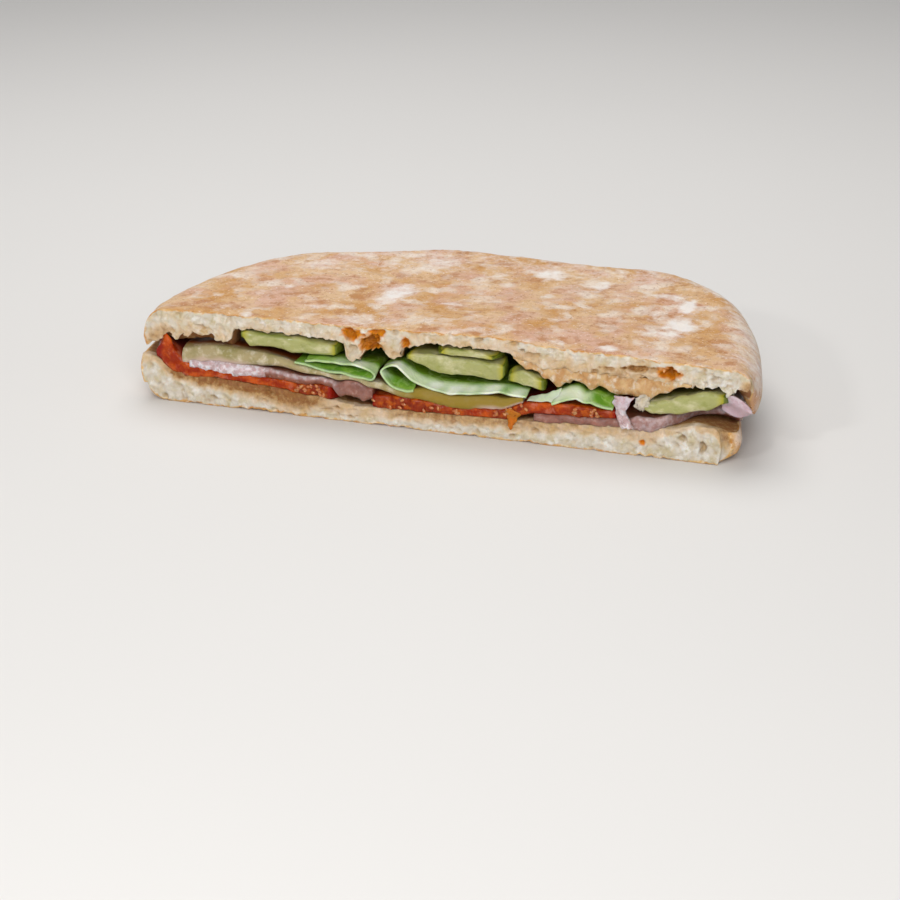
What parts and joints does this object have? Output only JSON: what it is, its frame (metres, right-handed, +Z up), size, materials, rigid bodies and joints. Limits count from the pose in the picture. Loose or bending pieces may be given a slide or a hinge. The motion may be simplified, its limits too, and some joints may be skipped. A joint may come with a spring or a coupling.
{
  "type": "toasted sandwich half",
  "caption": "Half of a toasted flatbread sandwich, cut side forward, with tomato, ham, cheese, lettuce, gherkin and dressing between pressed breads.",
  "frame": {"origin": "centre of the bounding box, at the base on which the half lies", "axes": "+X right along the knife cut, seen from the cut side; +Y back from the cut into the bread; +Z up from the base to the upper crust"},
  "size_m": [0.1717, 0.0875, 0.0286],
  "materials": {
    "bread": "toasted crust with pale flour, and an open cream crumb at the cut",
    "tomato": "wet cut tomato",
    "ham": "moist sliced ham",
    "cheese": "softened cheese",
    "lettuce": "crisp leaf",
    "gherkin": "wet translucent pickle with a darker skin",
    "dressing": "creamy dressing soaked into the crumb"
  },
  "bodies": {
    "root": {"bread_lower": "bread", "bread_upper": "bread", "tomato_left": "tomato", "tomato_right": "tomato", "ham_left": "ham", "ham_right": "ham", "ham_strip": "ham", "cheese": "cheese", "lettuce_left": "lettuce", "lettuce_middle": "lettuce", "lettuce_right": "lettuce", "gherkin_left": "gherkin", "gherkin_middle": "gherkin", "gherkin_upper": "gherkin", "gherkin_inner": "gherkin", "gherkin_right": "gherkin", "dressing": "dressing"}
  },
  "joints": []
}
